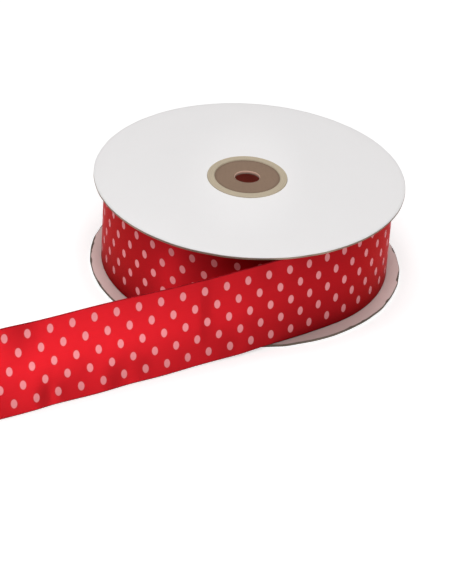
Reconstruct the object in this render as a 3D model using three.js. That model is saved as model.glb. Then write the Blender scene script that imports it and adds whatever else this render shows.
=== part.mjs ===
// A spool of satin ribbon: two round board flanges on a core tube, the ribbon wound between
// them, and the ribbon's loose end leaving the roll and running off to the front left.
// Millimetres, +Z up. The spool stands on its lower flange, with the spool's axis along Z.
import * as THREE from 'three';
import { mergeVertices } from 'three/addons/utils/BufferGeometryUtils.js';

// Board spool
const FLANGE_RADIUS = 63.5;
const FLANGE_THICKNESS = 1.1;
const TUBE_RADIUS = 16.3;
const TUBE_WALL = 3;
const TUBE_END_RECESS = 0.1;
const HUB_DISC_THICKNESS = 1.5;
const HUB_DISC_RECESS = 0.7;
const SPINDLE_HOLE_RADIUS = 5.3;

// Ribbon
const RIBBON_WIDTH = 38;
const RIBBON_EDGE_GAP = 0.45;
const ROLL_RADIUS = 59.2;
const TAIL_THICKNESS = 1;
const PIECE_GAP = 0.3;

// The loose end leaves the roll at this angle about the axis and runs clockwise from there.
const TAIL_ANGLE = THREE.MathUtils.degToRad(-50.2);
// Each row is a stretch of the loose end, its length and how far it turns over that length.
const TAIL_BENDS = [
  { run: 30, turnDeg: -6.4 },
  { run: 85, turnDeg: -1.9 },
  { run: 43, turnDeg: -1.9 },
];
const TAIL_RUN = TAIL_BENDS.reduce((sum, bend) => sum + bend.run, 0);
// The loose end stands on the lower flange, and comes down to the table past the flange's rim.
const TAIL_DROP = { amount: 1.2, from: 28, to: 80 };
// It stands upright at the roll and leans back further along.
const TAIL_LEAN = { amount: THREE.MathUtils.degToRad(5.2), from: 0, to: 115 };
// It is smooth where it passes between the flanges.
const TAIL_CALM = { from: 28, to: 48 };
// Soft dents and swells of the loose end: place along it, height as a share of the ribbon's
// width, half length, half height as a share of the width, and depth towards the front.
const TAIL_WAVES = [
  { along: 46, up: 0.0, reach: 12, rise: 0.5, depth: 0.6 },
  { along: 69, up: 0.05, reach: 15, rise: 0.4, depth: -0.8 },
  { along: 94, up: 0.0, reach: 14, rise: 0.4, depth: -0.8 },
  { along: 105, up: 1.0, reach: 24, rise: 0.5, depth: -0.6 },
  { along: 122, up: 0.1, reach: 12, rise: 0.5, depth: -0.8 },
  { along: 149, up: 0.95, reach: 14, rise: 0.4, depth: 0.9 },
];

// Places worked out from the sizes above
const TOP_FLANGE_Z = FLANGE_THICKNESS + RIBBON_WIDTH + 2 * RIBBON_EDGE_GAP;
const SPOOL_HEIGHT = TOP_FLANGE_Z + FLANGE_THICKNESS;
const RIBBON_Z = FLANGE_THICKNESS + RIBBON_EDGE_GAP;
const TUBE_BORE_RADIUS = TUBE_RADIUS - TUBE_WALL;

// Facets
const FLANGE_SEGMENTS = 120;
const HUB_SEGMENTS = 72;
const TAIL_STEPS = 54;
const TAIL_ROWS = 8;

// Materials, one for each finish
const whiteBoard = new THREE.MeshStandardMaterial({ color: '#e7e5e5', roughness: 0.75, metalness: 0 });
const creamBoard = new THREE.MeshStandardMaterial({ color: '#b7ae99', roughness: 0.85, metalness: 0 });
const tanBoard = new THREE.MeshStandardMaterial({ color: '#8d7664', roughness: 0.85, metalness: 0 });
const redSatin = new THREE.MeshStandardMaterial({ color: '#c81e28', roughness: 0.42, metalness: 0 });

function namedMesh(name, geometry, material) {
  const mesh = new THREE.Mesh(geometry, material);
  mesh.name = name;
  return mesh;
}

// A flat ring about the Z axis, from its underside at z = 0.
function ringGeometry(innerRadius, outerRadius, height, segments) {
  const profile = [
    new THREE.Vector2(innerRadius, 0),
    new THREE.Vector2(outerRadius, 0),
    new THREE.Vector2(outerRadius, height),
    new THREE.Vector2(innerRadius, height),
    new THREE.Vector2(innerRadius, 0),
  ];
  const ring = new THREE.LatheGeometry(profile, segments);
  ring.rotateX(Math.PI / 2);
  return ring;
}

function flange(name, z) {
  const hole = TUBE_RADIUS + PIECE_GAP;
  const disc = ringGeometry(hole, FLANGE_RADIUS, FLANGE_THICKNESS, FLANGE_SEGMENTS);
  const mesh = namedMesh(name, disc, whiteBoard);
  mesh.position.z = z;
  return mesh;
}

function coreTube() {
  const height = SPOOL_HEIGHT - 2 * TUBE_END_RECESS;
  const tube = ringGeometry(TUBE_BORE_RADIUS, TUBE_RADIUS, height, HUB_SEGMENTS);
  const mesh = namedMesh('core_tube', tube, creamBoard);
  mesh.position.z = TUBE_END_RECESS;
  return mesh;
}

// A board disc with the spindle hole, set a little way into the tube's end.
function hubDisc(name, z) {
  const radius = TUBE_BORE_RADIUS - PIECE_GAP;
  const disc = ringGeometry(SPINDLE_HOLE_RADIUS, radius, HUB_DISC_THICKNESS, HUB_SEGMENTS);
  const mesh = namedMesh(name, disc, tanBoard);
  mesh.position.z = z;
  return mesh;
}

// The wound ribbon: its outline is one turn of a spiral, which steps in by a layer where the
// loose end leaves it, around a round hole for the core tube.
function ribbonRoll() {
  const step = TAIL_THICKNESS + PIECE_GAP;
  const outline = [];
  for (let i = 0; i <= FLANGE_SEGMENTS; i += 1) {
    const turn = i / FLANGE_SEGMENTS;
    const angle = TAIL_ANGLE + 2 * Math.PI * turn;
    const radius = ROLL_RADIUS - step * turn;
    outline.push(new THREE.Vector2(radius * Math.cos(angle), radius * Math.sin(angle)));
  }
  const shape = new THREE.Shape(outline);
  const hole = new THREE.Path();
  hole.absarc(0, 0, TUBE_RADIUS + PIECE_GAP, 0, 2 * Math.PI, true);
  shape.holes.push(hole);
  const wound = new THREE.ExtrudeGeometry(shape, {
    depth: RIBBON_WIDTH,
    bevelEnabled: false,
    curveSegments: HUB_SEGMENTS,
  });
  const mesh = namedMesh('ribbon_roll', wound, redSatin);
  mesh.position.z = RIBBON_Z;
  return mesh;
}

// How far the loose end has turned, in radians, at a distance along it.
function tailTurn(along) {
  let turn = 0;
  let start = 0;
  for (const bend of TAIL_BENDS) {
    const share = THREE.MathUtils.clamp((along - start) / bend.run, 0, 1);
    turn += share * THREE.MathUtils.degToRad(bend.turnDeg);
    start += bend.run;
  }
  return turn;
}

// Stations along the loose end's middle line, seen from above: place and heading.
function tailStations() {
  const heading0 = TAIL_ANGLE - Math.PI / 2;
  const radius = ROLL_RADIUS - TAIL_THICKNESS / 2;
  const point = new THREE.Vector2(radius * Math.cos(TAIL_ANGLE), radius * Math.sin(TAIL_ANGLE));
  point.x += PIECE_GAP * Math.cos(heading0);
  point.y += PIECE_GAP * Math.sin(heading0);
  const step = TAIL_RUN / TAIL_STEPS;
  const stations = [];
  for (let i = 0; i <= TAIL_STEPS; i += 1) {
    stations.push({ point: point.clone(), heading: heading0 + tailTurn(i * step) });
    const middle = heading0 + tailTurn((i + 0.5) * step);
    point.x += step * Math.cos(middle);
    point.y += step * Math.sin(middle);
  }
  return stations;
}

// The sum of the soft dents and swells at a place on the loose end, positive to the front.
function tailWave(along, up) {
  let depth = 0;
  for (const wave of TAIL_WAVES) {
    const x = (along - wave.along) / wave.reach;
    const y = (up - wave.up) / wave.rise;
    depth += wave.depth * Math.exp(-(x * x + y * y));
  }
  return depth * THREE.MathUtils.smoothstep(along, TAIL_CALM.from, TAIL_CALM.to);
}

// The loose end: a flat strip of ribbon stood on edge and carried along the stations, with its
// drop, lean and waves.
function ribbonTail() {
  const strip = new THREE.BoxGeometry(
    TAIL_RUN, TAIL_THICKNESS, RIBBON_WIDTH, TAIL_STEPS, 1, TAIL_ROWS,
  );
  strip.deleteAttribute('normal');
  strip.deleteAttribute('uv');
  const tail = mergeVertices(strip);
  const stations = tailStations();
  const place = tail.getAttribute('position');
  for (let i = 0; i < place.count; i += 1) {
    const along = place.getX(i) + TAIL_RUN / 2;
    const height = place.getZ(i) + RIBBON_WIDTH / 2;
    const station = stations[Math.round(along * TAIL_STEPS / TAIL_RUN)];
    const lean = TAIL_LEAN.amount * THREE.MathUtils.smoothstep(along, TAIL_LEAN.from, TAIL_LEAN.to);
    const drop = TAIL_DROP.amount * THREE.MathUtils.smoothstep(along, TAIL_DROP.from, TAIL_DROP.to);
    // The strip's own Y is its front, the side turned away from the spool.
    const front = place.getY(i) + tailWave(along, height / RIBBON_WIDTH);
    const back = height * Math.sin(lean) - front * Math.cos(lean);
    place.setXYZ(
      i,
      station.point.x + back * Math.sin(station.heading),
      station.point.y - back * Math.cos(station.heading),
      RIBBON_Z - drop + height * Math.cos(lean) + front * Math.sin(lean),
    );
  }
  tail.computeVertexNormals();
  return namedMesh('ribbon_tail', tail, redSatin);
}

const spoolOfRibbon = new THREE.Group();
spoolOfRibbon.add(
  flange('flange_bottom', 0),
  flange('flange_top', TOP_FLANGE_Z),
  coreTube(),
  hubDisc('hub_disc_bottom', TUBE_END_RECESS + HUB_DISC_RECESS),
  hubDisc('hub_disc_top', SPOOL_HEIGHT - TUBE_END_RECESS - HUB_DISC_RECESS - HUB_DISC_THICKNESS),
  ribbonRoll(),
  ribbonTail(),
);

// The origin is in the middle of the footprint, on the surface that the spool stands on.
const footprint = new THREE.Box3().setFromObject(spoolOfRibbon, true);
const middle = footprint.getCenter(new THREE.Vector3());
spoolOfRibbon.position.set(-middle.x, -middle.y, -footprint.min.z);

export default spoolOfRibbon;
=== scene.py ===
# %% [markdown]
# # A spool of satin ribbon
# A shop spool holds its ribbon on a paper tube between two round boards. Here the red ribbon has rows of
# pale pink spots, and its loose end stands on edge and runs off to the front left.
# The solid model fixes where every piece is, so it is loaded first and never moved.

# %% The frame that everything is built around
import math

import bpy
import numpy as np
from mathutils import Matrix, Vector


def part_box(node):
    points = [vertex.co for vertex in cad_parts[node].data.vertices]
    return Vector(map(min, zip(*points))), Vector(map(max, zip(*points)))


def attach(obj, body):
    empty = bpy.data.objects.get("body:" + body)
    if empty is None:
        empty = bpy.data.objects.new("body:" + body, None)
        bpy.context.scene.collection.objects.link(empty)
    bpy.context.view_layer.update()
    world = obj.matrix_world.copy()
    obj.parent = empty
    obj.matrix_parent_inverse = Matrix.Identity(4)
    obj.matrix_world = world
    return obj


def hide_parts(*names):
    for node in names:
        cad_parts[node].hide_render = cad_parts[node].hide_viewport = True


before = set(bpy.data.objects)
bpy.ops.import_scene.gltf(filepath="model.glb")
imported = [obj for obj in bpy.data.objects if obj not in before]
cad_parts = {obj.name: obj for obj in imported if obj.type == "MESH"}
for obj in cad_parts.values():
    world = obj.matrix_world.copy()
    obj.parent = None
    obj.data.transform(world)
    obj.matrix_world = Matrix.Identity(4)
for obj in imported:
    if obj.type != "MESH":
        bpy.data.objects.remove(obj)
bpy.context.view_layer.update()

# %% [markdown]
# ## Sizes
# Sizes that the solid model has are read from it, and others are stated where they are first needed. Blender
# works in metres, and ribbon and board are small, so short sizes are in millimetres and multiplied by MM.

# %% Sizes read from the frame
MM = 0.001
tube_low, tube_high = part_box("core_tube")
flange_low, flange_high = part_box("flange_top")
disc_low, disc_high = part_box("hub_disc_top")
roll_low, roll_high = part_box("ribbon_roll")

AXIS = np.array([(tube_low.x + tube_high.x) / 2, (tube_low.y + tube_high.y) / 2])
FLANGE_RADIUS = (flange_high.x - flange_low.x) / 2
BOARD_THICKNESS = flange_high.z - flange_low.z
TUBE_RADIUS = (tube_high.x - tube_low.x) / 2
DISC_RADIUS = (disc_high.x - disc_low.x) / 2
ROLL_RADIUS = (roll_high.x - roll_low.x) / 2
RIBBON_LOW = roll_low.z
RIBBON_WIDTH = roll_high.z - roll_low.z
SPOOL_HEIGHT = flange_high.z
print(f"flange {2000 * FLANGE_RADIUS:.1f} mm across, ribbon {1000 * RIBBON_WIDTH:.1f} mm wide")

# %% [markdown]
# ## The camera
# The photograph looks down on the spool at about 31 degrees with a long lens, and the camera is tipped a
# little to one side. A camera's own axes are three arrows: right, up and backwards. The lens is written
# as a focal length in pixels of the picture's long side, which Blender takes as a part of its sensor.

# %% A camera at the photograph's angle
PICTURE_LONG_SIDE = 584
SENSOR = 36.0
FOCAL_PIXELS = 2900
CAMERA_DISTANCE = 1.200
CAMERA_ELEVATION = math.radians(31.48)
CAMERA_ROLL = math.radians(3.77)
SPOOL_RIGHT_OF_CENTRE = 7.37 * MM
SPOOL_ABOVE_CENTRE = 12.13 * MM


def camera_axes(elevation, roll):
    """The camera's right, up and forward arrows: level and looking along +Y, then dipped, then rolled."""
    ahead = Vector((0, math.cos(elevation), -math.sin(elevation)))
    level_up = Vector((0, math.sin(elevation), math.cos(elevation)))
    level_right = Vector((1, 0, 0))
    right = math.cos(roll) * level_right + math.sin(roll) * level_up
    up = math.cos(roll) * level_up - math.sin(roll) * level_right
    return right, up, ahead


def add_camera():
    """The photograph's camera: the spool's foot falls a little right of the picture's middle and above it."""
    right, up, ahead = camera_axes(CAMERA_ELEVATION, CAMERA_ROLL)
    spool_foot = Vector((AXIS[0], AXIS[1], 0))
    place = spool_foot - SPOOL_RIGHT_OF_CENTRE * right - SPOOL_ABOVE_CENTRE * up - CAMERA_DISTANCE * ahead
    data = bpy.data.cameras.new("camera")
    data.sensor_width = SENSOR
    data.lens = FOCAL_PIXELS / PICTURE_LONG_SIDE * SENSOR
    camera = bpy.data.objects.new("camera", data)
    turn = Matrix((right, up, -ahead)).transposed().to_4x4()
    camera.matrix_world = Matrix.Translation(place) @ turn
    bpy.context.scene.collection.objects.link(camera)
    bpy.context.scene.camera = camera
    return camera


camera = add_camera()
print(f"camera lens {camera.data.lens:.0f} mm, {camera.location.length:.2f} m from the origin")

# %% [markdown]
# ## Meshes from grids
# Most pieces here are a closed outline carried along a path: round the axis for board and tube, and along
# its own length for ribbon. All of them are one grid of points, stations by outline, and the grid's faces
# follow from its size alone. numpy works out whole grids at once, and foreach_set hands them to Blender.

# %% Helpers that turn grids into meshes


def grid_faces(stations, outline, around):
    """Quads of a grid whose outline closes on itself, and whose stations do too when around is true.
    Each quad joins points (i, j), (i+1, j), (i+1, j+1) and (i, j+1)."""
    i = np.arange(stations if around else stations - 1)[:, None]
    j = np.arange(outline)[None, :]
    i_next = (i + 1) % stations
    j_next = (j + 1) % outline
    corners = [i * outline + j, i_next * outline + j, i_next * outline + j_next, i * outline + j_next]
    return np.stack([np.broadcast_to(c, (i.shape[0], outline)) for c in corners], -1).reshape(-1, 4)


def mesh_object(name, points, faces, smooth_to_deg=40):
    """A linked object from an (n, 3) array of points and an (m, 4) array of quads, at the origin."""
    mesh = bpy.data.meshes.new(name)
    mesh.vertices.add(len(points))
    mesh.vertices.foreach_set("co", np.ascontiguousarray(points, np.float32).ravel())
    mesh.loops.add(faces.size)
    mesh.loops.foreach_set("vertex_index", np.ascontiguousarray(faces, np.int32).ravel())
    mesh.polygons.add(len(faces))
    mesh.polygons.foreach_set("loop_start", np.arange(0, faces.size, 4, dtype=np.int32))
    mesh.update(calc_edges=True)
    mesh.validate()
    mesh.shade_smooth()
    mesh.set_sharp_from_angle(angle=math.radians(smooth_to_deg))
    piece = bpy.data.objects.new(name, mesh)
    bpy.context.scene.collection.objects.link(piece)
    return piece


def set_uv(piece, name, corners):
    """Writes one (u, v) for each corner of each face into a UV map."""
    layer = piece.data.uv_layers.new(name=name)
    layer.uv.foreach_set("vector", np.ascontiguousarray(corners, np.float32).ravel())


def set_face_materials(piece, materials, index):
    """Gives the piece its materials, and each face the index of one of them."""
    for material in materials:
        piece.data.materials.append(material)
    piece.data.polygons.foreach_set("material_index", np.ascontiguousarray(index, np.int32))


def smoothstep(x, low, high):
    """0 below low, 1 above high, and an even S between them."""
    t = np.clip((x - low) / (high - low), 0, 1)
    return t * t * (3 - 2 * t)


print("helpers ready")

# %% [markdown]
# ## Shader helpers
# Node trees are wordy in Python, so helpers do the typing: one adds a node and fills or links its inputs,
# and others add the Math, Map Range, Mix and Noise nodes that come up most. Effects that several finishes
# share become node groups.

# %% Helpers for node trees
MIX_FACTOR, MIX_FIRST, MIX_SECOND = 0, 6, 7
MIX_RESULT = 2


def fill(tree, socket, value):
    """Links an output to the socket, or sets the socket's own value."""
    if isinstance(value, bpy.types.NodeSocket):
        tree.links.new(value, socket)
    else:
        socket.default_value = value


def fill_all(tree, node, inputs):
    """Fills a node's inputs by name, with values or links."""
    for name, value in inputs.items():
        fill(tree, node.inputs[name], value)


def add_node(tree, kind, inputs=None, **settings):
    """Adds a node, sets its own settings, then fills its inputs."""
    made = tree.nodes.new(kind)
    for key, value in settings.items():
        setattr(made, key, value)
    fill_all(tree, made, inputs or {})
    return made


def calc(tree, operation, *values):
    """One Math node, and its output."""
    made = tree.nodes.new("ShaderNodeMath")
    made.operation = operation
    for socket, value in zip(made.inputs, values):
        fill(tree, socket, value)
    return made.outputs[0]


def remap(tree, value, from_low, from_high, to_low, to_high, smooth=False):
    """A Map Range node from one range of numbers to another, held at the ends."""
    kind = "SMOOTHSTEP" if smooth else "LINEAR"
    names = ("Value", "From Min", "From Max", "To Min", "To Max")
    inputs = dict(zip(names, (value, from_low, from_high, to_low, to_high)))
    return add_node(tree, "ShaderNodeMapRange", inputs, interpolation_type=kind).outputs["Result"]


def mix_colour(tree, factor, first, second, blend="MIX"):
    """A Mix node for colours. Its sockets are found by number, because several have the same name."""
    made = add_node(tree, "ShaderNodeMix", data_type="RGBA", blend_type=blend)
    fill(tree, made.inputs[MIX_FACTOR], factor)
    fill(tree, made.inputs[MIX_FIRST], first)
    fill(tree, made.inputs[MIX_SECOND], second)
    return made.outputs[MIX_RESULT]


def product(tree, first, *others):
    """Several values multiplied together, two at a time."""
    for other in others:
        first = calc(tree, "MULTIPLY", first, other)
    return first


def noise(tree, place, scale, **more):
    """A Noise Texture's value at a place."""
    return add_node(tree, "ShaderNodeTexNoise", {"Vector": place, "Scale": scale, **more}).outputs[0]


def noise_along(tree, distance, scale):
    """A noise that changes along one distance only."""
    inputs = {"W": distance, "Scale": scale}
    return add_node(tree, "ShaderNodeTexNoise", inputs, noise_dimensions="1D").outputs[0]


def object_place(tree):
    """Object coordinates, which all the pieces share, because none is moved."""
    return add_node(tree, "ShaderNodeTexCoord").outputs["Object"]


def parts(tree, vector):
    """The X, Y and Z of a vector, by name."""
    return add_node(tree, "ShaderNodeSeparateXYZ", {"Vector": vector}).outputs


def new_group(name, inputs, outputs):
    """A shader node group with named sockets for numbers: inputs with their defaults, and outputs."""
    tree = bpy.data.node_groups.new(name, "ShaderNodeTree")
    for label, default in inputs.items():
        socket = tree.interface.new_socket(label, in_out="INPUT", socket_type="NodeSocketFloat")
        socket.default_value = default
    for label in outputs:
        tree.interface.new_socket(label, in_out="OUTPUT", socket_type="NodeSocketFloat")
    return tree, tree.nodes.new("NodeGroupInput").outputs, tree.nodes.new("NodeGroupOutput").inputs


def use_group(tree, group, inputs=None):
    """Adds a group to a tree, fills its inputs and gives back its outputs."""
    return add_node(tree, "ShaderNodeGroup", inputs, node_tree=group).outputs


def new_material(name):
    """A material, its node tree and its Principled shader."""
    material = bpy.data.materials.new(name)
    material.use_nodes = True
    return material, material.node_tree, material.node_tree.nodes["Principled BSDF"]


def srgb(red, green, blue):
    """A colour given as 0 to 255 screen values, as the linear colour that shaders use."""
    c = np.array([red, green, blue]) / 255
    linear = np.where(c <= 0.04045, c / 12.92, ((c + 0.055) / 1.055) ** 2.4)
    return (*linear.tolist(), 1.0)


print("shader helpers ready")

# %% [markdown]
# ## Shared finishes: paper fibre and wear
# All the board on the spool is pressed paper pulp. Close up it is a cloud of pale and dark fibres with a
# few flecks, and its surface is faintly uneven. One group makes that for the white liner, the bare edge,
# the tube and the hub discs, each with its own amounts. A second group makes the soft blotches of wear.

# %% The paper fibre and wear groups
FIBRE_STRETCH = (1.0, 0.28, 1.0)
FIBRE_SHARE = 0.6
CLOUD_SCALE = 70.0
FLECK_SCALE = 0.8
FLECK_INSIDE, FLECK_OUTSIDE = 0.1, 0.2
WEAR_SCALE = 90.0


def make_paper_group():
    """Two noises, one drawn out into fibres and one cloudy, plus a few dark flecks from a cell pattern."""
    inputs = {"Contrast": 0.1, "Flecks": 0.0, "Scale": 900.0}
    tree, given, result = new_group("paper fibre", inputs, ["Shade", "Height"])
    place = object_place(tree)
    drawn = add_node(tree, "ShaderNodeMapping", {"Vector": place, "Scale": FIBRE_STRETCH}).outputs[0]
    fibre = noise(tree, drawn, given["Scale"], Detail=5.0, Roughness=0.62)
    cloud = noise(tree, place, CLOUD_SCALE, Detail=3.0)
    cells = {"Vector": place, "Scale": product(tree, given["Scale"], FLECK_SCALE)}
    to_middle = add_node(tree, "ShaderNodeTexVoronoi", cells).outputs["Distance"]
    fleck = remap(tree, to_middle, FLECK_INSIDE, FLECK_OUTSIDE, 1.0, 0.0)
    both = calc(tree, "ADD", product(tree, fibre, FIBRE_SHARE), product(tree, cloud, 1 - FIBRE_SHARE))
    swing = product(tree, calc(tree, "SUBTRACT", both, 0.5), given["Contrast"])
    dark = product(tree, fleck, given["Flecks"])
    tree.links.new(calc(tree, "SUBTRACT", calc(tree, "ADD", swing, 1.0), dark), result["Shade"])
    tree.links.new(fibre, result["Height"])
    return tree


def make_wear_group():
    """Soft blotches about a centimetre across, as handling leaves them: one cloudy noise."""
    tree, given, result = new_group("wear blotches", {"Scale": WEAR_SCALE}, ["Blotches"])
    tree.links.new(noise(tree, object_place(tree), given["Scale"], Detail=3.0), result["Blotches"])
    return tree


PAPER = make_paper_group()
WEAR = make_wear_group()
print("groups made:", PAPER.name, "and", WEAR.name)

# %% [markdown]
# ## Board finishes
# The flanges are grey board with a white paper liner outside and a duller, pinkish one inside, and their
# cut edge is grey-brown. The inner liner's pink is partly painted reflection of the red ribbon, its front is
# darker as painted shade, and the cut edge is darker towards the table as painted shade. The tube's end shows
# the wound paper as rings, and the hub discs are plain tan chipboard with a ring of painted shade at their
# rim and a lighter hole lip that is partly a painted highlight. Each material keeps its own Principled shader
# and takes shade and bump from the paper group. Where the rims are worn, the wear group says how far the
# liner is chipped off and the bare edge soiled.

# %% Board materials
RADIUS_NAME = "outline_radius"
LINER_WHITE = srgb(241, 239, 239)
# The inner liner's pink tint is partly painted reflection of the red ribbon.
LINER_INNER = srgb(244, 220, 215)
EDGE_BROWN = srgb(156, 136, 119)
CHIP_BROWN = srgb(112, 97, 86)
PAPER_CREAM = srgb(188, 174, 151)
LINING_RED = srgb(215, 95, 78)
BOARD_TAN = srgb(136, 112, 93)
# The hole's cut board is lighter and pinker than the disc, partly as a painted highlight of its lit wall.
CUT_TAN_AND_HIGHLIGHT = srgb(203, 165, 147)
SOILED_BAND = 1.2 * MM
SOILED_SHADE = 0.93
# Painted shade on the front of the inner liner fades out this far in front of the axis.
FRONT_SHADE_FROM = 20 * MM
CHIP_START, CHIP_END = 0.25 * MM, 0.1 * MM
# A ring of painted shade round the hub disc's rim, where it sits in the tube.
RECESS_SHADE_WIDTH = 1.2 * MM
RECESS_SHADE_FACTOR = 0.84
PLY_SCALE = 5200.0
RING_SCALE = 3600.0


def shaded(tree, colour, shade):
    """The colour times a grey shade."""
    grey = add_node(tree, "ShaderNodeCombineColor", {"Red": shade, "Green": shade, "Blue": shade}).outputs[0]
    return mix_colour(tree, 1.0, colour, grey, "MULTIPLY")


def add_bump(tree, shader, height, distance):
    """Tilts the shader's normal as if the surface rose and fell by the height times the distance."""
    bump = add_node(tree, "ShaderNodeBump", {"Height": height, "Distance": distance})
    tree.links.new(bump.outputs[0], shader.inputs["Normal"])


def outline_radius(tree):
    """Distance from a ring's own middle, an attribute that each turned ring carries."""
    return add_node(tree, "ShaderNodeAttribute", attribute_name=RADIUS_NAME).outputs["Fac"]


def start_board(name, contrast, flecks, scale):
    """A new material, with the paper group set for it."""
    material, tree, shader = new_material(name)
    paper = use_group(tree, PAPER, {"Contrast": contrast, "Flecks": flecks, "Scale": scale})
    return material, tree, shader, paper


def finish_board(tree, shader, colour, roughness, height, depth):
    """Fills the shader's colour and roughness, and adds a bump of the given depth."""
    fill_all(tree, shader, {"Base Color": colour, "Roughness": roughness})
    add_bump(tree, shader, height, depth)


def liner(name, colour, painted_front_shade=1.0, chipped=0.0):
    """Liner paper on a flange's face: almost even, a touch greyer where hands touch the rim. Towards the
    front it is darkened to the given shade as painted shade, and it is chipped off the board in places, up to
    the given distance from the rim."""
    material, tree, shader, paper = start_board(name, contrast=0.035, flecks=0.012, scale=800.0)
    radius = outline_radius(tree)
    rim = remap(tree, radius, FLANGE_RADIUS - SOILED_BAND, FLANGE_RADIUS, 1.0, SOILED_SHADE)
    y = parts(tree, object_place(tree))["Y"]
    middle_y = float(AXIS[1])
    # Painted shade: darker towards the front of the board.
    front = remap(tree, y, middle_y - FLANGE_RADIUS, middle_y - FRONT_SHADE_FROM, painted_front_shade, 1.0)
    colour = shaded(tree, colour, product(tree, paper["Shade"], rim, front))
    if chipped:
        blotches = use_group(tree, WEAR)["Blotches"]
        reach = calc(tree, "ADD", radius, remap(tree, blotches, 0.5, 0.7, 0.0, chipped))
        bare = remap(tree, reach, FLANGE_RADIUS - CHIP_START, FLANGE_RADIUS - CHIP_END, 0.0, 1.0)
        colour = mix_colour(tree, bare, colour, CHIP_BROWN)
    roughness = remap(tree, paper["Height"], 0.3, 0.7, 0.55, 0.68)
    finish_board(tree, shader, colour, roughness, paper["Height"], 0.03 * MM)
    return material


def bare_board():
    """Cut edge of grey board: plies as level streaks, darker towards the table as painted shade, and
    blotched.
    """
    material, tree, shader, paper = start_board("bare_board", contrast=0.5, flecks=0.15, scale=1500.0)
    z = parts(tree, object_place(tree))["Z"]
    ply = noise_along(tree, z, PLY_SCALE)
    streaks = remap(tree, ply, 0.35, 0.65, 0.82, 1.12)
    # Painted shade: the edge darkens towards the table.
    painted_table_shade = remap(tree, z, 0.0, SPOOL_HEIGHT, 0.38, 1.0)
    worn = remap(tree, use_group(tree, WEAR)["Blotches"], 0.35, 0.65, 1.2, 0.75)
    colour = shaded(tree, EDGE_BROWN, product(tree, paper["Shade"], streaks, painted_table_shade, worn))
    finish_board(tree, shader, colour, 0.85, calc(tree, "ADD", paper["Height"], ply), 0.08 * MM)
    return material


def wound_paper():
    """Tube of wound cream paper: its cut end shows the turns as fine rings."""
    material, tree, shader, paper = start_board("wound_paper", contrast=0.22, flecks=0.05, scale=1100.0)
    ring = noise_along(tree, outline_radius(tree), RING_SCALE)
    rings = remap(tree, ring, 0.35, 0.65, 0.9, 1.07)
    colour = shaded(tree, PAPER_CREAM, product(tree, paper["Shade"], rings))
    finish_board(tree, shader, colour, 0.8, calc(tree, "ADD", paper["Height"], ring), 0.06 * MM)
    return material


def tan_chipboard():
    """Tan chipboard of the hub discs, with a ring of painted shade at the rim, where the disc sits in the
    tube.
    """
    material, tree, shader, paper = start_board("tan_chipboard", contrast=0.3, flecks=0.1, scale=950.0)
    radius = outline_radius(tree)
    # Painted shade: a darker ring at the disc's rim.
    recess_shade = remap(tree, radius, DISC_RADIUS - RECESS_SHADE_WIDTH, DISC_RADIUS, 1.0, RECESS_SHADE_FACTOR, smooth=True)
    colour = shaded(tree, BOARD_TAN, product(tree, paper["Shade"], recess_shade))
    finish_board(tree, shader, colour, 0.82, paper["Height"], 0.06 * MM)
    return material


def plain_board(name, colour, roughness, depth, **fibre):
    """Board with nothing on it but its own fibre."""
    material, tree, shader, paper = start_board(name, **fibre)
    finish_board(tree, shader, shaded(tree, colour, paper["Shade"]), roughness, paper["Height"], depth)
    return material


WHITE = liner("white_liner", LINER_WHITE)
INNER = liner("inner_liner", LINER_INNER, painted_front_shade=0.47, chipped=0.9 * MM)
BARE = bare_board()
WOUND = wound_paper()
LINING = plain_board("tube_lining", LINING_RED, 0.8, 0.05 * MM, contrast=0.2, flecks=0.05, scale=1100.0)
TAN = tan_chipboard()
CUT = plain_board("cut_chipboard", CUT_TAN_AND_HIGHLIGHT, 0.85, 0.06 * MM, contrast=0.3, flecks=0.06, scale=1300.0)
print("board materials:", [m.name for m in (WHITE, INNER, BARE, WOUND, LINING, TAN, CUT)])

# %% [markdown]
# ## Flanges
# A flange is die-cut from board: the blade rounds one edge over and leaves a small burr on the other, and
# the big disc never stays quite flat. A turned profile with a small warp and a wavering rim shows that,
# where a plain cylinder would look like plastic.

# %% A turned ring with a closed profile
HUB_OFFSET = np.array([-1.0, -1.05]) * MM
HUB_OVAL = 1.035
HUB_HOLD = TUBE_RADIUS + 1 * MM
HUB_PULL = 30 * MM
RING_CREASE_DEG = 50


def turned_ring(name, radius, height, change, steps, rim_offset=(0.0, 0.0)):
    """Carries a closed outline of (radius, height) round the axis. change(r, z, angle) moves the points a
    little, so that the ring isn't perfect. The hub is a touch oval and not quite in the middle, so points
    nearer than HUB_HOLD follow it, and points further than HUB_PULL are centred on the axis plus rim_offset.
    The outline runs outwards underneath."""
    angle = np.linspace(0, 2 * np.pi, steps, endpoint=False)[:, None]
    near = 1 - smoothstep(radius, HUB_HOLD, HUB_PULL)
    shape = (steps, len(radius))
    r, z = change(np.broadcast_to(radius, shape), np.broadcast_to(height, shape), angle)
    middle = AXIS + near[:, None] * HUB_OFFSET + (1 - near[:, None]) * np.array(rim_offset)
    x = middle[:, 0] + r * np.cos(angle)
    y = middle[:, 1] + r * np.sin(angle) * (1 + near * (HUB_OVAL - 1))
    points = np.stack([x, y, z], -1).reshape(-1, 3)
    ring = mesh_object(name, points, grid_faces(steps, len(radius), around=True), RING_CREASE_DEG)
    kept = ring.data.attributes.new(RADIUS_NAME, "FLOAT", "POINT")
    kept.data.foreach_set("value", np.tile(radius, steps).astype(np.float32))
    return ring


def wavering(angle, strengths, seed):
    """A smooth closed curve of the angle: a sum of cosines with seeded phases, one for each strength."""
    phases = np.random.default_rng(seed).uniform(0, 2 * np.pi, len(strengths))
    waves = np.arange(2, len(strengths) + 2)
    return np.sum(np.array(strengths) * np.cos(waves * angle[..., None] + phases), -1)


print("turned ring ready")

# %% [markdown]
# ## Two boards that differ
# Both boards are cut to one size, but in the photograph they differ: the upper one dips at the front and has
# a burr under its rim, and the lower one is a little wider, with its free rim curled up at the sides.

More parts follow.
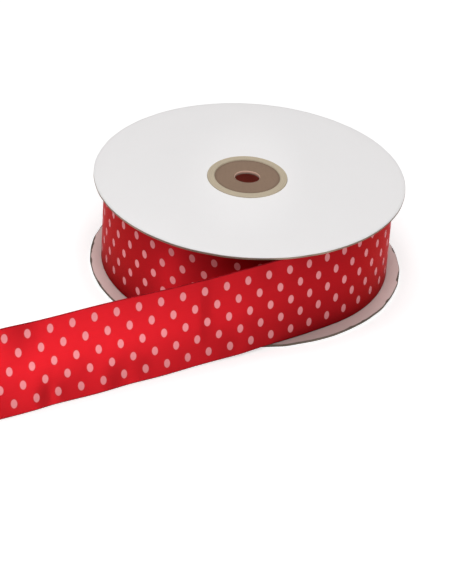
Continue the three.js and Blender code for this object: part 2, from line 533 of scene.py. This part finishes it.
# %% Both flanges
EDGE_ROUND = 0.3 * MM
HOLE_RADIUS = TUBE_RADIUS + 0.08 * MM
FLANGE_WARP = 0.22 * MM
WARP_WAVES = (0.5, 0.3, 0.15)
RIM_WAVES = np.full(40, 0.16)
RIM_TRIM = 0.06 * MM
RIM_REACH = 2 * MM
BURR_REACH = 0.8 * MM
ROLLED_OVER, WORN_OFF = 1.0, 0.1
FACE_RINGS = 9
RIM_RINGS = 4
ROUND_STEPS = 5
FLANGE_STEPS = 240
TOP_SHAPE = dict(dip=0.27 * MM, curl=0.0, growth=0.0, front_growth=0.25 * MM, burr=0.15 * MM,
                 wander=0.05 * MM)
BOTTOM_SHAPE = dict(dip=0.0, curl=0.45 * MM, growth=0.5 * MM, front_growth=1.2 * MM, burr=0.0,
                    wander=0.1 * MM)


def flange_outline():
    """Outline of the board: underside outwards, a rim with both corners rounded, the top face inwards."""
    face = np.linspace(HOLE_RADIUS, FLANGE_RADIUS - EDGE_ROUND, FACE_RINGS)
    bend = np.linspace(0, np.pi / 2, ROUND_STEPS)[1:-1]
    low_r = FLANGE_RADIUS - EDGE_ROUND + EDGE_ROUND * np.sin(bend)
    low_z = EDGE_ROUND - EDGE_ROUND * np.cos(bend)
    rim_z = np.linspace(EDGE_ROUND, BOARD_THICKNESS - EDGE_ROUND, RIM_RINGS)
    rim_r = np.full(RIM_RINGS, FLANGE_RADIUS)
    radius = np.concatenate([face, low_r, rim_r, low_r[::-1], face[::-1]])
    top = np.full(FACE_RINGS, BOARD_THICKNESS)
    height = np.concatenate([np.zeros(FACE_RINGS), low_z, rim_z, (BOARD_THICKNESS - low_z)[::-1], top])
    return radius, height


def flange_finish(radius, height, inside_up):
    """Finish of each face: 0 white and 1 inner liner on the two sides, 2 bare board on the rim and in the
    hole. On the upper board the cutting blade has rolled the white liner over its rounded edge, and on the
    lower one it is worn off there."""
    column = np.arange(len(radius))
    middle_height = (height + np.roll(height, -1)) / 2
    upper = middle_height > BOARD_THICKNESS / 2
    rolled = np.where((upper == inside_up) | inside_up, WORN_OFF, ROLLED_OVER) * EDGE_ROUND
    bare = (middle_height > rolled) & (middle_height < BOARD_THICKNESS - rolled)
    finish = np.where(upper == inside_up, 1, 0)
    finish[bare | (column == len(radius) - 1)] = 2
    return np.tile(finish, FLANGE_STEPS)


def make_flange(node, base, seed, lift, shape, rim_offset=(0.0, 0.0)):
    """A board ring at height base. Its warp grows with the square of the radius, and lift keeps it from
    dipping below the surface that the spool stands on. shape holds what each board has of its own: the dip
    of its front, the curl of its free rim at both sides, the growth of its radius all round and at the
    front, the burr under its rim and the rim's wander. rim_offset moves the rim sideways."""
    radius, height = flange_outline()

    def change(r, z, angle):
        far = (r / FLANGE_RADIUS) ** 2
        warp = FLANGE_WARP * far * (lift + wavering(angle, WARP_WAVES, seed))
        warp = warp - shape["dip"] * far * (1 - np.sin(angle)) / 2
        warp = warp + shape["curl"] * smoothstep(r, ROLL_RADIUS, FLANGE_RADIUS) * np.cos(angle) ** 2
        front = np.clip(-np.sin(angle), 0, 1) ** 2
        growth = shape["growth"] + shape["front_growth"] * front
        rough = shape["wander"] * wavering(angle, RIM_WAVES, seed + 1) - RIM_TRIM
        at_rim = smoothstep(r, FLANGE_RADIUS - RIM_REACH, FLANGE_RADIUS)
        underneath = (z < BOARD_THICKNESS / 2) * smoothstep(r, FLANGE_RADIUS - BURR_REACH, FLANGE_RADIUS)
        return r + growth * far + rough * at_rim, base + z + warp - shape["burr"] * underneath

    piece = turned_ring(node.replace("flange", "board"), radius, height, change, FLANGE_STEPS, rim_offset)
    set_face_materials(piece, [WHITE, INNER, BARE], flange_finish(radius, height, inside_up=lift > 0))
    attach(piece, "root")
    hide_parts(node)
    return piece


board_top = make_flange("flange_top", flange_low.z, seed=3, lift=0.0, shape=TOP_SHAPE)
board_bottom = make_flange("flange_bottom", 0.0, seed=11, lift=1.0, shape=BOTTOM_SHAPE,
                           rim_offset=(0.3 * MM, -0.1 * MM))
print("flange faces:", len(board_top.data.polygons), len(board_bottom.data.polygons))

# %% [markdown]
# ## Tube and hub discs
# The tube is paper wound round and round, so its sawn end is a tight spiral of plies, a little uneven. The
# hub discs sit just inside it, and each has a punched hole for the spindle with a softly crushed lip.

# %% The core tube
TUBE_BORE = DISC_RADIUS + 0.3 * MM
TUBE_TOP_LIP = 0.55 * MM
CREAM_DEPTH = 3.0 * MM
LIP_ROUND = 0.25 * MM
PLY = 0.42 * MM
PLY_STEP = 0.05 * MM
SAW_WANDER = 0.03 * MM
END_RINGS = 26
TUBE_STEPS = 180


def make_tube():
    """Outline: lower end, outside, upper end, bore. On both ends the height ripples with the ply count,
    radius over ply thickness plus one for each turn, so that the ripples form a spiral. The upper end is
    spread over the board and stands a little proud of it. The lining shows in the middle of the bore."""
    end = np.linspace(TUBE_BORE + LIP_ROUND, TUBE_RADIUS - LIP_ROUND, END_RINGS)
    low, high = tube_low.z, SPOOL_HEIGHT + TUBE_TOP_LIP
    radius = np.concatenate([end, [TUBE_RADIUS, TUBE_RADIUS], end[::-1], np.full(4, TUBE_BORE)])
    bore = [high - LIP_ROUND, high - CREAM_DEPTH, low + CREAM_DEPTH, low + LIP_ROUND]
    height = np.concatenate([np.full(END_RINGS, low), [low + LIP_ROUND, high - LIP_ROUND],
                             np.full(END_RINGS, high), bore])
    outwards = np.where(height > SPOOL_HEIGHT / 2, 1.0, -1.0)
    is_end = (height == low) | (height == high)

    def change(r, z, angle):
        count = r / PLY + angle / (2 * np.pi)
        ripple = PLY_STEP * (0.5 + 0.5 * np.cos(2 * np.pi * count))
        ripple = ripple + SAW_WANDER * wavering(angle, (0.6, 0.4), seed=5)
        return r, z - is_end * outwards * ripple

    piece = turned_ring("paper_tube", radius, height, change, TUBE_STEPS)
    column = np.tile(np.arange(len(radius)), TUBE_STEPS)
    lining_column = len(radius) - 3
    set_face_materials(piece, [WOUND, LINING], column == lining_column)
    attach(piece, "root")
    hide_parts("core_tube")
    return piece


paper_tube = make_tube()
print("tube faces:", len(paper_tube.data.polygons))

# %% The hub discs
SPINDLE_RADIUS = 5.0 * MM
HOLE_BACK = 0.3 * MM
HOLE_FLAT = 0.55 * MM
HOLE_RAGGED = 0.05 * MM
RAGGED_WAVES = (0.4, 0.3, 0.3, 0.3, 0.2, 0.2)
DISC_FIT = 0.2 * MM
DISC_RISE = 1.0 * MM
DISC_BOW = 0.12 * MM
DISC_RINGS = 10
DISC_STEPS = 120


def make_disc(node, outer_face_up, seed):
    """A punched disc: flat faces, and a hole that is a little off the middle, squeezed from front to back and
    pressed in at its lip. The upper disc is pushed up almost level with the tube's end."""
    raised = DISC_RISE if outer_face_up else 0.0
    low, high = (corner.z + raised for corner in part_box(node))
    face = np.linspace(SPINDLE_RADIUS + LIP_ROUND, DISC_RADIUS + DISC_FIT, DISC_RINGS)
    radius = np.concatenate([[SPINDLE_RADIUS], face, face[::-1], [SPINDLE_RADIUS]])
    height = np.concatenate([[low + LIP_ROUND], np.full(DISC_RINGS, low), np.full(DISC_RINGS, high),
                             [high - LIP_ROUND]])
    side = 1.0 if outer_face_up else -1.0

    def change(r, z, angle):
        far = (r - SPINDLE_RADIUS) / (DISC_RADIUS - SPINDLE_RADIUS)
        bow = -side * DISC_BOW * (1 - far) ** 2
        ragged = HOLE_RAGGED * wavering(angle, RAGGED_WAVES, seed)
        punched = HOLE_BACK * np.sin(angle) - HOLE_FLAT * np.sin(angle) ** 2
        return r + (ragged + punched) * (1 - far), z + bow

    piece = turned_ring(node.replace("hub_disc", "hub_board"), radius, height, change, DISC_STEPS)
    column = np.tile(np.arange(len(radius)), DISC_STEPS)
    # The hole's lip and wall take the lighter cut board, partly a painted highlight.
    set_face_materials(piece, [TAN, CUT], column >= len(radius) - 2)
    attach(piece, "root")
    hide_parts(node)
    return piece


hub_boards = [make_disc("hub_disc_top", True, 21), make_disc("hub_disc_bottom", False, 22)]
print("hub disc faces:", [len(piece.data.polygons) for piece in hub_boards])

# %% [markdown]
# ## The path of the ribbon
# The whole ribbon is one long strip. Distance s runs along it: below zero it is wound on the roll, at zero
# it leaves the roll, and above zero it is the loose end. On the roll it is a spiral, and the loose end is
# drawn by adding up small steps along its heading.

# %% Plan of the ribbon's middle line
LEAVES_AT = math.radians(-50.2)
LAYER = 0.42 * MM
ROLL_MIDDLE = ROLL_RADIUS + 0.03 * MM
TAIL_START = 0.3 * MM
TAIL_SAMPLES = 2000
TAIL_BENDS = [
    dict(run=30 * MM, turn_deg=-6.4),
    dict(run=85 * MM, turn_deg=-1.9),
    dict(run=43 * MM, turn_deg=-1.9),
]
TAIL_RUN = sum(bend["run"] for bend in TAIL_BENDS) + TAIL_START


def wound_plan(s):
    """Spiral: the angle turned back from the leaving point solves s = R a - p a^2 / 4 pi."""
    back = np.maximum(-s, 0)
    root = np.sqrt(np.maximum(ROLL_MIDDLE ** 2 - LAYER * back / np.pi, 0))
    turned = (ROLL_MIDDLE - root) * 2 * np.pi / LAYER
    angle = LEAVES_AT + turned
    return root * np.cos(angle), root * np.sin(angle), angle - np.pi / 2


def loose_plan(s):
    """Loose end: the heading turns evenly over each bend, and the places are its running sum."""
    along = np.linspace(0, TAIL_RUN, TAIL_SAMPLES)
    ends = TAIL_START + np.concatenate([[0], np.cumsum([bend["run"] for bend in TAIL_BENDS])])
    turns = np.concatenate([[0], np.cumsum([math.radians(bend["turn_deg"]) for bend in TAIL_BENDS])])
    heading = LEAVES_AT - np.pi / 2 + np.interp(along, ends, turns)
    step = along[1] * np.stack([np.cos(heading), np.sin(heading)])
    track = np.cumsum(step, axis=1) - step
    start = ROLL_MIDDLE * np.array([math.cos(LEAVES_AT), math.sin(LEAVES_AT)])
    x, y = (np.interp(s, along, start[k] + track[k]) for k in (0, 1))
    return x, y, np.interp(s, along, heading)


def ribbon_plan(s):
    """Place and heading of the middle line, seen from above and measured from the spool's axis."""
    return [np.where(s < 0, wound, loose) for wound, loose in zip(wound_plan(s), loose_plan(s))]


print(f"loose end {1000 * TAIL_RUN:.0f} mm, one turn of the roll {2000 * np.pi * ROLL_MIDDLE:.0f} mm")

# %% [markdown]
# ## The ribbon's surface
# The loose end stands on the lower flange, comes down to the table past the rim and leans back a little.
# Satin shows every small dent as a change of sheen, so the soft dents and swells of the photograph are
# given as rows of a short table: place along in mm, height up the ribbon as a share of its width, reach in
# mm, rise as a share of the width, and depth in mm. The outer turn is a little slack too.

# %% Lean, drop and soft waves
TAIL_DROP = dict(amount=1.35 * MM, start=28 * MM, end=80 * MM)
TAIL_LEAN = dict(amount=math.radians(5.2), start=0.0, end=115 * MM)
TAIL_CALM = dict(start=28 * MM, end=48 * MM)
WAVE_COLUMNS = ("along", "up", "reach", "rise", "depth", "ease")
TAIL_WAVES = [
    (46, 0.0, 12, 0.5, 0.6),
    (69, 0.05, 15, 0.4, -0.8),
    (94, 0.0, 14, 0.4, -0.8),
    (105, 1.0, 24, 0.5, -0.6),
    (122, 0.1, 12, 0.5, -0.8),
    (149, 0.95, 14, 0.4, 0.9),
]
TAIL_CREASES = [
    (31, 1.0, 6, 0.25, -0.35),
    (65, 0.6, 4, 0.45, -0.42, 25),
    (54, 0.14, 11, 0.16, -0.65),
    (95, 0.15, 9, 0.17, -0.65),
    (128, 0.14, 5, 0.16, -0.5),
    (148, 0.95, 12, 0.35, -1.5),
    (165, 0.5, 32, 3.0, 0.45),
]
SLACK_WAVES = [
    (-238, 0.5, 22, 2.0, 0.45),
    (-40, 0.9, 16, 0.5, 0.2),
    (-75, 0.2, 20, 0.6, 0.25),
    (-262, 0.7, 18, 0.5, 0.25),
    (-287, 0.42, 13, 0.45, 0.65),
    (-322, 0.8, 12, 0.5, 0.22),
]
FINE_WAVES = TAIL_CREASES + SLACK_WAVES


def soft_waves(s, up, rows):
    """Sum of bell-shaped dents and swells, each with its own place, reach, rise and depth. A row with an ease
    is a fold: steep on the roll's side, and eased out over that length on the other."""
    depth = np.zeros(np.broadcast(s, up).shape)
    for values in rows:
        row = dict(zip(WAVE_COLUMNS, values))
        x = s / MM - row["along"]
        x = x / np.where(x > 0, row.get("ease", row["reach"]), row["reach"])
        y = (up - row["up"]) / row["rise"]
        depth += row["depth"] * MM * np.exp(-(x * x + y * y))
    return depth


def ramp(s, part):
    """0 before the part's start, 1 after its end, and an even S between them."""
    return smoothstep(s, part["start"], part["end"])


def ribbon_surface(s, up, front):
    """A point of the ribbon at distance s, height up (0 to 1) and distance front of its middle: the plan's
    place, plus height and front turned by the lean, less the drop."""
    x, y, heading = ribbon_plan(s)
    lean = TAIL_LEAN["amount"] * ramp(s, TAIL_LEAN)
    front = front + ramp(s, TAIL_CALM) * soft_waves(s, up, TAIL_WAVES) + soft_waves(s, up, FINE_WAVES)
    height = up * RIBBON_WIDTH
    outwards = front * np.cos(lean) - height * np.sin(lean)
    z = RIBBON_LOW - TAIL_DROP["amount"] * ramp(s, TAIL_DROP) + height * np.cos(lean) + front * np.sin(lean)
    x = AXIS[0] + x - outwards * np.sin(heading)
    y = AXIS[1] + y + outwards * np.cos(heading)
    return np.stack(np.broadcast_arrays(x, y, z), -1)


print(len(TAIL_WAVES), "waves and", len(TAIL_CREASES), "creases on the loose end")
print(len(SLACK_WAVES), "slack places on the roll")

# %% [markdown]
# ## Satin with spots
# Satin is woven so that long threads float over the face: it is smooth and glossy along them. The back is
# the same cloth with the dull side of the weave. The spots are printed in staggered rows on the face and
# show faintly through. The UV maps count ribbon widths along and across, so the print follows the cloth.
# The spots are worked out by a formula: round a place to the nearest spot, and see how far away that is.

# %% The spot group
PRINT_UV = "print"
SPOT_ROWS_EACH_SIDE = 2
SPOT_MIDDLE = 0.506


def make_spot_group():
    """A staggered lattice: the nearest row comes from rounding the height, every other row moves on by half
    a spacing, and an oval is cut where the distance from the spot's middle is under 1."""
    inputs = {"Spacing": 0.25, "Row Spacing": 0.18, "Slant": 0.0, "Phase": 0.0, "Half Length": 0.03,
              "Half Width": 0.05, "Softness": 0.1}
    tree, given, result = new_group("printed spots", inputs, ["Mask"])
    part = parts(tree, add_node(tree, "ShaderNodeUVMap", uv_map=PRINT_UV).outputs[0])
    height = calc(tree, "SUBTRACT", part["Y"], SPOT_MIDDLE)
    nearest = calc(tree, "ROUND", calc(tree, "DIVIDE", height, given["Row Spacing"]))
    row = calc(tree, "MAXIMUM", calc(tree, "MINIMUM", nearest, SPOT_ROWS_EACH_SIDE), -SPOT_ROWS_EACH_SIDE)
    across = calc(tree, "SUBTRACT", height, product(tree, row, given["Row Spacing"]))
    half = product(tree, row, given["Spacing"], 0.5)
    slant = product(tree, height, given["Slant"])
    shift = calc(tree, "ADD", calc(tree, "ADD", half, slant), given["Phase"])
    moved = calc(tree, "SUBTRACT", part["X"], shift)
    turns = calc(tree, "ROUND", calc(tree, "DIVIDE", moved, given["Spacing"]))
    along = calc(tree, "SUBTRACT", moved, product(tree, turns, given["Spacing"]))
    a = calc(tree, "DIVIDE", along, given["Half Length"])
    b = calc(tree, "DIVIDE", across, given["Half Width"])
    reach = calc(tree, "SQRT", calc(tree, "ADD", product(tree, a, a), product(tree, b, b)))
    inner = calc(tree, "SUBTRACT", 1.0, given["Softness"])
    outer = calc(tree, "ADD", 1.0, given["Softness"])
    tree.links.new(remap(tree, reach, inner, outer, 1.0, 0.0, smooth=True), result["Mask"])
    return tree


SPOTS = make_spot_group()
print("group made:", SPOTS.name)

# %% [markdown]
# ## Satin threads
# The second satin group reads the plain UV map. It gives the fine relief of the threads, a shade for uneven
# threads and painted shade at both edges, and a mask for the selvedge, which is the firm woven band at each
# edge.

# %% The satin thread group
RIBBON_UV = "ribbon"
THREADS_ACROSS = 190.0
PICKS_PER_WIDTH = 120.0
PICK_SHARE = 0.35
THREAD_SHARE = 0.5
SLUB_STRETCH = (3.0, 110.0, 1.0)


def make_thread_group():
    """Fine threads: a wave across the ribbon for the floats, a slow noise drawn out along it for uneven
    threads, and the selvedge, a firmer band at each edge. The cloth is darker towards its upper edge, and
    more so towards the lower one: painted shade."""
    tree, _, result = new_group("satin threads", {}, ["Height", "Shade", "Selvedge"])
    uv = add_node(tree, "ShaderNodeUVMap", uv_map=RIBBON_UV).outputs[0]
    part = parts(tree, uv)
    float_wave = calc(tree, "SINE", product(tree, part["Y"], THREADS_ACROSS * math.pi))
    pick_wave = calc(tree, "SINE", product(tree, part["X"], PICKS_PER_WIDTH * math.pi))
    weave = calc(tree, "ADD", float_wave, product(tree, pick_wave, PICK_SHARE))
    drawn = add_node(tree, "ShaderNodeMapping", {"Vector": uv, "Scale": SLUB_STRETCH}).outputs[0]
    slub = noise(tree, drawn, 1.0, Detail=4.0)
    height = calc(tree, "ADD", product(tree, weave, THREAD_SHARE), slub)
    uneven = remap(tree, slub, 0.3, 0.7, 0.97, 1.03)
    # Painted shade: darker towards the lower edge and a little towards the upper one.
    painted_low_edge_shade = remap(tree, part["Y"], 0.0, 0.5, 0.72, 1.0)
    painted_top_edge_shade = remap(tree, part["Y"], 0.6, 1.0, 1.0, 0.85)
    from_middle = calc(tree, "ABSOLUTE", calc(tree, "SUBTRACT", part["Y"], 0.5))
    selvedge = remap(tree, from_middle, 0.485, 0.495, 0.0, 1.0, smooth=True)
    tree.links.new(height, result["Height"])
    tree.links.new(product(tree, uneven, painted_low_edge_shade, painted_top_edge_shade), result["Shade"])
    tree.links.new(selvedge, result["Selvedge"])
    return tree


THREADS = make_thread_group()
print("group made:", THREADS.name)

# %% [markdown]
# ## Face and back
# Threads spread a highlight out across themselves, so satin shines in streaks. The anisotropic gloss of the
# Principled shader does that, with its direction taken from the UV map. The print is dull, so a spot has
# more roughness and no metallic shine.

# %% The face and back of the satin
SPOT_PRINT = {
    "Spacing": 9.45 * MM / RIBBON_WIDTH,
    "Row Spacing": 0.182,
    "Slant": 0.108,
    "Phase": 98.75 * MM / RIBBON_WIDTH,
    "Half Length": 1.30 * MM / RIBBON_WIDTH,
    "Half Width": 1.92 * MM / RIBBON_WIDTH,
}
SATIN_RED = srgb(183, 22, 31)
SATIN_EDGE = srgb(128, 10, 20)
SPOT_PINK = srgb(235, 147, 151)
SATIN_BACK_RED = srgb(190, 30, 42)
SHINE_TINT = srgb(255, 120, 120)
SHOWS_THROUGH = 0.22


def start_satin(name, red, softness, strength):
    """A new material with its threads, a darker selvedge, and spots of the given strength in its red."""
    material, tree, shader = new_material(name)
    thread = use_group(tree, THREADS)
    mask = use_group(tree, SPOTS, {**SPOT_PRINT, "Softness": softness})["Mask"]
    spot = product(tree, mask, strength)
    cloth = mix_colour(tree, thread["Selvedge"], red, SATIN_EDGE)
    colour = shaded(tree, mix_colour(tree, spot, cloth, SPOT_PINK), thread["Shade"])
    return material, tree, shader, thread["Height"], spot, colour


def satin_face():
    """Glossy face: red threads, and pale printed spots that are duller than the satin."""
    material, tree, shader, height, spot, colour = start_satin("satin_face", SATIN_RED, 0.10, 1.0)
    tangent = add_node(tree, "ShaderNodeTangent", direction_type="UV_MAP", uv_map=RIBBON_UV)
    fill_all(tree, shader, {
        "Base Color": colour,
        "Roughness": remap(tree, spot, 0.0, 1.0, 0.42, 0.75),
        "Metallic": remap(tree, spot, 0.0, 1.0, 0.8, 0.0),
        "Tangent": tangent.outputs[0],
        "Anisotropic": 0.9,
        "Anisotropic Rotation": 0.25,
        "Specular IOR Level": 0.2,
        "Specular Tint": SHINE_TINT,
        "Coat Weight": 0.06,
        "Coat Roughness": 0.5,
    })
    add_bump(tree, shader, height, 0.012 * MM)
    return material


def satin_back():
    """Dull back: deeper red, with the spots showing faintly through."""
    material, tree, shader, height, _, colour = start_satin("satin_back", SATIN_BACK_RED, 0.25, SHOWS_THROUGH)
    fill_all(tree, shader, {"Base Color": colour, "Roughness": 0.62, "Sheen Weight": 0.2})
    add_bump(tree, shader, height, 0.02 * MM)
    return material


SATIN_FACE = satin_face()
SATIN_BACK = satin_back()
print("satin materials:", SATIN_FACE.name, SATIN_BACK.name)

# %% [markdown]
# ## The ribbon itself
# A strip's cross-section is a closed loop: up the face and down the back, with a slightly beaded selvedge
# at both edges. Carried along s it makes the strip, and two small caps close the cut ends. The same
# function makes the outer turns with the loose end, finely, and the hidden turns down to the tube, coarsely.

# %% A strip of ribbon from s to s
CLOTH = 0.30 * MM
SELVEDGE_BEAD = 0.07 * MM
BEAD_FROM_EDGE = 0.45 * MM
BEAD_REACH = 0.35 * MM
EDGE_SHARE = 0.35
EDGE_REACH = 0.2 * MM
RIBBON_CREASE_DEG = 60
PRINT_MARKS = np.array([[-25000, -25908.6], [-268, -285.6], [-110, -120.7], [21, 21], [400, 400]]) * MM
PRINT_NARROWER = dict(amount=0.12, start=0.0, end=230 * MM)
PRINT_WIDER = dict(amount=0.02, start=40 * MM, end=110 * MM)
DRIFT_ALONG = np.array([-268, -110, -24, 25, 90, 150]) * MM
DRIFT_UP = np.array([0.0, 0.03, 0.03, -0.018, -0.001, 0.005])
LOWER_ALONG = np.array([-268, -45, 20, 105, 150]) * MM
LOWER_MOVED = np.array([-0.6, 0.0, -0.8, 0.65, 0.1]) * MM
LOWER_FROM = 0.55
LOWER_OVER = 0.41


def half_thickness(up):
    """Half the cloth's thickness, with a bead close to each selvedge that rounds off at the very edge."""
    from_edge = np.minimum(up, 1 - up) * RIBBON_WIDTH
    bead = SELVEDGE_BEAD * np.exp(-((from_edge - BEAD_FROM_EDGE) / BEAD_REACH) ** 2)
    cloth = CLOTH * (EDGE_SHARE + (1 - EDGE_SHARE) * smoothstep(from_edge, 0, EDGE_REACH))
    return (cloth + bead) / 2


def strip_faces(stations, rows):
    """Quads of the strip: the closed loop along all stations, then a cap from face to back at each end."""
    loop = 2 * rows
    sides = grid_faces(stations, loop, around=False)[:, ::-1]
    j = np.arange(rows - 1)
    cap = np.stack([j, j + 1, loop - 2 - j, loop - 1 - j], -1)
    return np.concatenate([sides, cap[:, ::-1], cap + (stations - 1) * loop])


def print_map(s, up):
    """Where a point lies on the flat print, in ribbon widths. Marks pair distances along the ribbon and the
    print, because the spots are closer on the roll than on the loose end, which has been drawn out by hand.
    The lower rows are pulled a little way along. Across the ribbon the rows are drawn together on the roll
    and spread on the loose end, about a middle that drifts up and down."""
    along = np.interp(s, PRINT_MARKS[:, 0], PRINT_MARKS[:, 1])
    low_down = np.clip((LOWER_FROM - up) / LOWER_OVER, 0, 1)
    along = along + low_down * np.interp(s, LOWER_ALONG, LOWER_MOVED)
    closer = 1 + PRINT_NARROWER["amount"] * ramp(-s, PRINT_NARROWER)
    closer = closer - PRINT_WIDER["amount"] * ramp(s, PRINT_WIDER)
    middle = SPOT_MIDDLE + np.interp(s, DRIFT_ALONG, DRIFT_UP)
    return np.stack([along / RIBBON_WIDTH, SPOT_MIDDLE + (up - middle) * closer], -1)


def make_strip(name, s, up):
    """The strip over stations s and heights up, with its UV maps in ribbon widths and its two finishes."""
    half = half_thickness(up)
    loop_up = np.concatenate([up, up[::-1]])
    loop_front = np.concatenate([half, -half[::-1]])
    points = ribbon_surface(s[:, None], loop_up[None, :], loop_front[None, :])
    faces = strip_faces(len(s), len(up))
    piece = mesh_object(name, points.reshape(-1, 3), faces, RIBBON_CREASE_DEG)
    station, place = faces // len(loop_up), faces % len(loop_up)
    set_uv(piece, RIBBON_UV, np.stack([s[station] / RIBBON_WIDTH, loop_up[place]], -1))
    set_uv(piece, PRINT_UV, print_map(s[station], loop_up[place]))
    on_back = (place >= len(up)).all(1)
    set_face_materials(piece, [SATIN_FACE, SATIN_BACK], on_back)
    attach(piece, "root")
    return piece


EDGE_ROWS = np.array([0, 0.003, 0.008, 0.014, 0.022, 0.035])
FINE_UP = np.concatenate([EDGE_ROWS, np.linspace(0.06, 0.94, 23), 1 - EDGE_ROWS[::-1]])
COARSE_UP = np.array([0, 0.02, 0.98, 1.0])
print("rows across the fine strip:", len(FINE_UP))

# %% [markdown]
# ## Loose end and wound turns
# The first strip is what the eye sees: the loose end and the outer turns, in small steps. The second is the
# rest of the roll. Its stations are spaced by angle, so that the tight turns near the tube stay round.

# %% The loose end with the outer turns
OUTER_TURNS = 1.3
OUTER_STEP = 1.6 * MM
TAIL_STATIONS = 170
OUTER_START = -OUTER_TURNS * 2 * np.pi * ROLL_MIDDLE
outer_s = np.concatenate([np.arange(OUTER_START, 0, OUTER_STEP), np.linspace(0, TAIL_RUN, TAIL_STATIONS)])
loose_end = make_strip("ribbon_loose_end", outer_s, FINE_UP)
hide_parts("ribbon_tail")
print(f"loose end and outer turns: {TAIL_RUN - OUTER_START:.3f} m, {len(loose_end.data.polygons)} faces")

# %% The wound turns
STEPS_PER_TURN = 56
CORE_MIDDLE = TUBE_RADIUS + 1.4 * MM
WOUND_LENGTH = np.pi * (ROLL_MIDDLE ** 2 - CORE_MIDDLE ** 2) / LAYER
turns = (ROLL_MIDDLE - CORE_MIDDLE) / LAYER
turned = 2 * np.pi * np.linspace(turns, OUTER_TURNS, int(turns * STEPS_PER_TURN))
inner_s = -(ROLL_MIDDLE * turned - LAYER * turned ** 2 / (4 * np.pi))
inner_s = inner_s[inner_s < OUTER_START]
wound_turns = make_strip("ribbon_wound_turns", inner_s, COARSE_UP)
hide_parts("ribbon_roll")
print(f"{turns:.0f} turns, {WOUND_LENGTH:.1f} m of ribbon, {len(wound_turns.data.polygons)} faces")

# %% [markdown]
# ## Floor and light
# The photograph is a product shot on plain white. A pale floor that glows a little stands for the lit
# paper under such a shot: it makes the background white and lights the ribbon from below.

# %% A pale floor
FLOOR_SIZE = 6.0
FLOOR_DROP = 0.05 * MM
FLOOR_GLOW = 0.47
FLOOR_GREY = srgb(225, 225, 225)
PURE_WHITE = (1.0, 1.0, 1.0, 1.0)
FLOOR_SPECK_SCALE = 7.0


def add_floor():
    """One large square just under the spool."""
    h = FLOOR_SIZE / 2
    corners = np.array([[-h, -h, 0], [h, -h, 0], [h, h, 0], [-h, h, 0]]) - [0, 0, FLOOR_DROP]
    floor = mesh_object("floor", corners, np.array([[0, 1, 2, 3]]))
    material, tree, shader = new_material("pale_floor")
    speck = noise(tree, object_place(tree), FLOOR_SPECK_SCALE)
    colour = shaded(tree, FLOOR_GREY, remap(tree, speck, 0.3, 0.7, 0.99, 1.0))
    fill_all(tree, shader, {"Base Color": colour, "Roughness": 0.9, "Emission Color": PURE_WHITE,
                            "Emission Strength": FLOOR_GLOW})
    floor.data.materials.append(material)
    return floor


floor = add_floor()
print("floor", FLOOR_SIZE, "m square")

# %% [markdown]
# ## Lamps
# Large soft lamps and a dim surround light the white board evenly. The satin needs more: a low lamp with a
# narrow beam draws the sheen on the loose end. Two small cones lift the hub and the roll's left side.

# %% Soft lamps, narrow lamps and the surround
SOFT_LAMPS = [
    dict(name="top", place=(0, 0.1, 1.25), aim=(0, 0.03, 0.04), size=0.6, watts=4.0),
    dict(name="back_top", place=(0, 0.9, 1.0), aim=(0, 0.03, 0.04), size=0.9, watts=1.5),
    dict(name="front_high", place=(0.05, -0.55, 1.15), aim=(0, 0, 0.02), size=0.5, watts=3.9),
    dict(name="front_left", place=(-0.35, -0.4, 1.15), aim=(0, 0, 0.02), size=0.5, watts=1.0),
    dict(name="left_high", place=(-0.75, -0.25, 0.95), aim=(0, 0.03, 0.02), size=0.35, watts=1.9),
    dict(name="right_high", place=(0.75, -0.25, 0.95), aim=(0, 0.03, 0.02), size=0.6, watts=1.6),
    dict(name="sheen", place=(0.687, -0.577, 0.161), aim=(-0.067, -0.092, 0.02), size=0.16, watts=0.0252,
         spread=12),
]
SPOT_LAMPS = [
    dict(name="hub_fill", place=(0.01, -1.048, 0.645), aim=(0.0158, 0.0333, 0.041), size=0.02, watts=45.0,
         cone=0.9),
    dict(name="roll_glow", place=(-0.691, -0.525, 0.33), aim=(-0.02, -0.013, 0.013), size=0.02, watts=13.0,
         cone=2.2),
]
SURROUND_STRENGTH = 0.17


def add_lamp(lamp, kind):
    """A lamp of one kind at its place, turned so that its beam, along its own -Z, points at its aim."""
    data = bpy.data.lights.new(lamp["name"], kind)
    data.energy = lamp["watts"]
    made = bpy.data.objects.new(lamp["name"], data)
    made.location = lamp["place"]
    direction = Vector(lamp["aim"]) - Vector(lamp["place"])
    made.rotation_euler = direction.to_track_quat("-Z", "Y").to_euler()
    bpy.context.scene.collection.objects.link(made)
    return data


def add_soft_lamp(lamp):
    """A square of light. A small spread keeps its beam together, as a honeycomb grid does."""
    data = add_lamp(lamp, "AREA")
    data.shape = "SQUARE"
    data.size = lamp["size"]
    data.spread = math.radians(lamp.get("spread", 180))


def add_spot_lamp(lamp):
    """A narrow cone of light that fades out to its edge."""
    data = add_lamp(lamp, "SPOT")
    data.spot_size = math.radians(lamp["cone"])
    data.spot_blend = 1.0
    data.shadow_soft_size = lamp["size"]


def add_surround():
    """A plain white world, as dim light from all round."""
    world = bpy.data.worlds.new("surround")
    world.use_nodes = True
    background = world.node_tree.nodes["Background"]
    fill_all(world.node_tree, background, {"Color": PURE_WHITE, "Strength": SURROUND_STRENGTH})
    bpy.context.scene.world = world


for lamp in SOFT_LAMPS:
    add_soft_lamp(lamp)
for lamp in SPOT_LAMPS:
    add_spot_lamp(lamp)
add_surround()
bpy.context.scene.view_settings.view_transform = "Standard"
print(len(SOFT_LAMPS), "soft lamps and", len(SPOT_LAMPS), "small cones of light")

# %% [markdown]
# ## Finish
# The last call brings the view layer up to date.

# %% The end
bpy.context.view_layer.update()
